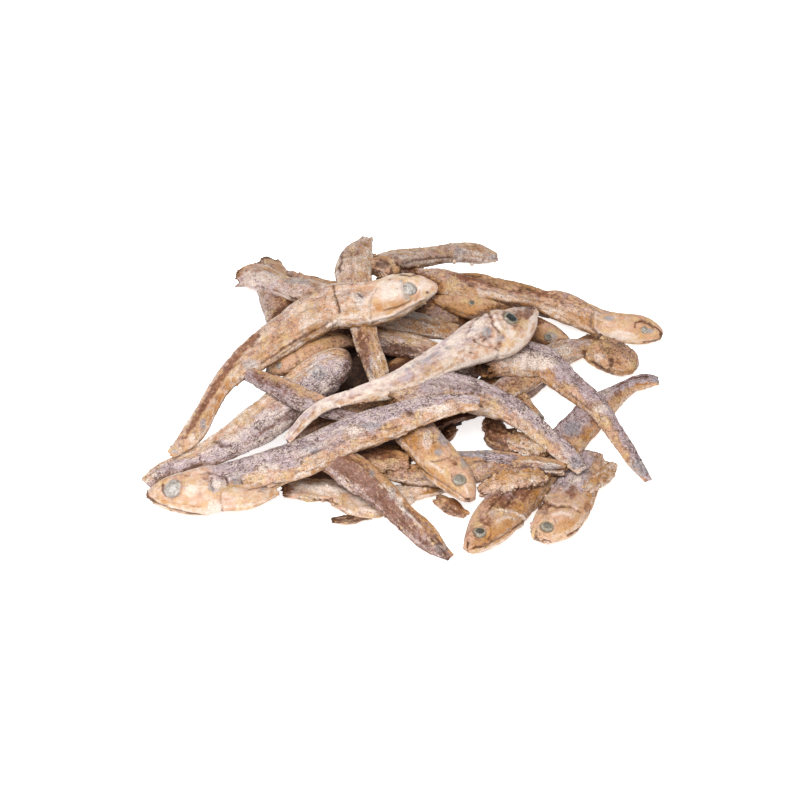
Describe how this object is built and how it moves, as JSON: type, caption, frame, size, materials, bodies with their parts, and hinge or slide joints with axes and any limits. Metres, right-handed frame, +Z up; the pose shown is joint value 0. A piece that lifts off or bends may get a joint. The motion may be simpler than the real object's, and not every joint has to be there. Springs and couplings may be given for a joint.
{
  "type": "dried anchovies",
  "caption": "Loose heap of small dried anchovies, whole, headless and broken, lying across one another on a flat base.",
  "frame": {"origin": "centre of the heap's footprint, on the surface it lies on", "axes": "+Z up, +X to the right as the heap is seen from its front, +Y to the back"},
  "size_m": [0.1225, 0.1193, 0.0264],
  "materials": {
    "dried_flesh": "matt, dry and wrinkled"
  },
  "bodies": {
    "root": {"dried_anchovies": "dried_flesh"}
  },
  "joints": []
}
